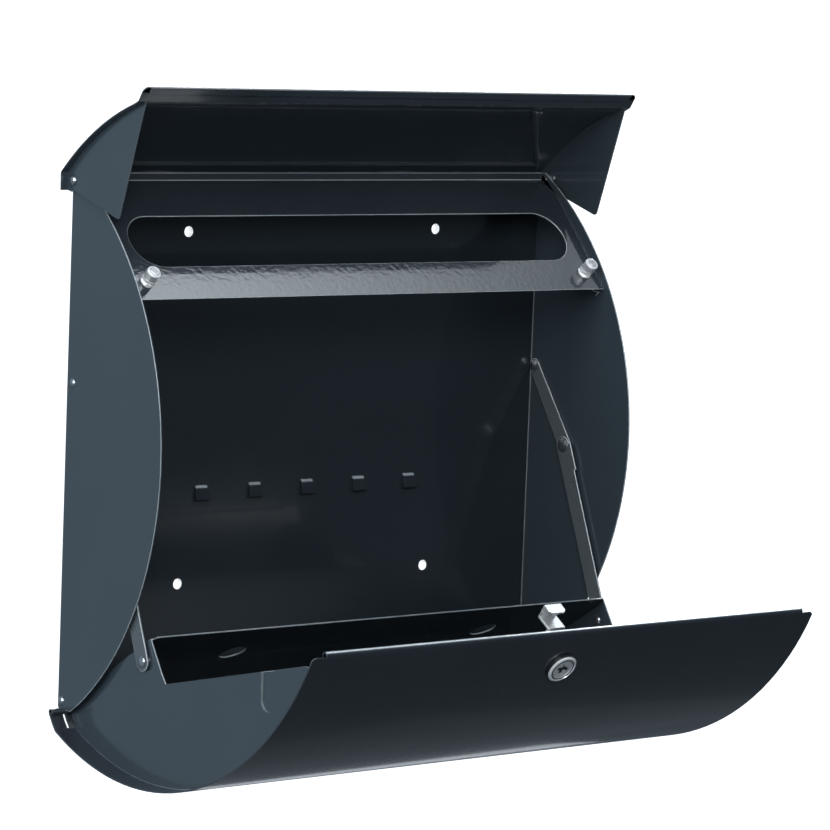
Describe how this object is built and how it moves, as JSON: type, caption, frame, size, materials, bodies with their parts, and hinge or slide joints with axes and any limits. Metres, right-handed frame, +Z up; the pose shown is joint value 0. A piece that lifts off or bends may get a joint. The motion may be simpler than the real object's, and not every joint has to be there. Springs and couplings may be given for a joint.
{
  "type": "wall mounted mailbox",
  "caption": "Wall mounted letter box of folded sheet: a lifting curved flap over a sloping letter slot, and a drop-down curved door on folding stays with a cam lock.",
  "frame": {"origin": "on the wall plane, at the middle of the four wall holes", "axes": "+X to the viewer's right, +Y into the wall, +Z up"},
  "size_m": [0.3788, 0.2624, 0.4031],
  "materials": {
    "powder_coat_outer": "gloss powder coat",
    "powder_coat_inner": "gloss powder coat",
    "powder_coat_slot": "gloss powder coat",
    "zinc_plate": "bright zinc",
    "rivet_steel": "satin",
    "lock_chrome": "polished",
    "bumper_clear": "clear",
    "spacer_nylon": "matte"
  },
  "bodies": {
    "body": {"back_panel": "powder_coat_inner", "side_panel_left": "powder_coat_outer", "side_panel_right": "powder_coat_outer", "slot_panel": "powder_coat_slot", "wall_spacers": "spacer_nylon", "bumper_left": "bumper_clear", "bumper_right": "bumper_clear", "flap_hinge_rivets": "rivet_steel", "flap_washers": "rivet_steel", "door_hinge_rivets": "rivet_steel", "stay_top_rivets": "rivet_steel"},
    "flap": {"flap_shell": "powder_coat_outer", "flap_cheek_left": "powder_coat_outer", "flap_cheek_right": "powder_coat_outer"},
    "door": {"door_shell": "powder_coat_outer", "door_cheek_left": "powder_coat_inner", "door_cheek_right": "powder_coat_inner", "tray_plate": "powder_coat_inner", "stay_bottom_rivets": "rivet_steel", "lock_housing": "lock_chrome", "lock_nut": "zinc_plate"},
    "lock_rotor": {"lock_plug": "lock_chrome", "lock_cam": "zinc_plate", "cam_screw": "zinc_plate"},
    "stay_upper_left": {"stay_upper_left": "powder_coat_inner"},
    "stay_upper_right": {"stay_upper_right": "powder_coat_inner"},
    "stay_lower_left": {"stay_lower_left": "powder_coat_inner", "elbow_rivet_left": "rivet_steel"},
    "stay_lower_right": {"stay_lower_right": "powder_coat_inner", "elbow_rivet_right": "rivet_steel"}
  },
  "joints": [
    {"name": "flap_hinge", "type": "hinge", "parent": "body", "child": "flap", "pos_m": [0, -0.0095, 0.138], "axis": [1, 0, 0], "range_deg": [0, 72.5]},
    {"name": "door_hinge", "type": "hinge", "parent": "body", "child": "door", "pos_m": [0, -0.0075, -0.1712], "axis": [1, 0, 0], "range_deg": [-60.3, 0]},
    {"name": "lock_turn", "type": "hinge", "parent": "door", "child": "lock_rotor", "pos_m": [0, -0.2499, -0.12661], "axis": [0, -0.8261, -0.5635], "range_deg": [0, 90]},
    {"name": "stay_upper_left_pivot", "type": "hinge", "parent": "body", "child": "stay_upper_left", "pos_m": [-0.1783, -0.0096, 0.0188], "axis": [1, 0, 0], "range_deg": [-52.7, 0]},
    {"name": "stay_lower_left_pivot", "type": "hinge", "parent": "door", "child": "stay_lower_left", "pos_m": [-0.1783, -0.0848, -0.1359], "axis": [1, 0, 0], "range_deg": [0, 110]},
    {"name": "stay_upper_right_pivot", "type": "hinge", "parent": "body", "child": "stay_upper_right", "pos_m": [0.1783, -0.0096, 0.0188], "axis": [1, 0, 0], "range_deg": [-52.7, 0]},
    {"name": "stay_lower_right_pivot", "type": "hinge", "parent": "door", "child": "stay_lower_right", "pos_m": [0.1783, -0.0848, -0.1359], "axis": [1, 0, 0], "range_deg": [0, 110]}
  ],
  "couplings": [
    {"joint": "stay_upper_left_pivot", "follows": "door_hinge", "ratio": 0.86804},
    {"joint": "stay_lower_left_pivot", "follows": "door_hinge", "ratio": -1.815},
    {"joint": "stay_upper_right_pivot", "follows": "door_hinge", "ratio": 0.86804},
    {"joint": "stay_lower_right_pivot", "follows": "door_hinge", "ratio": -1.815}
  ]
}
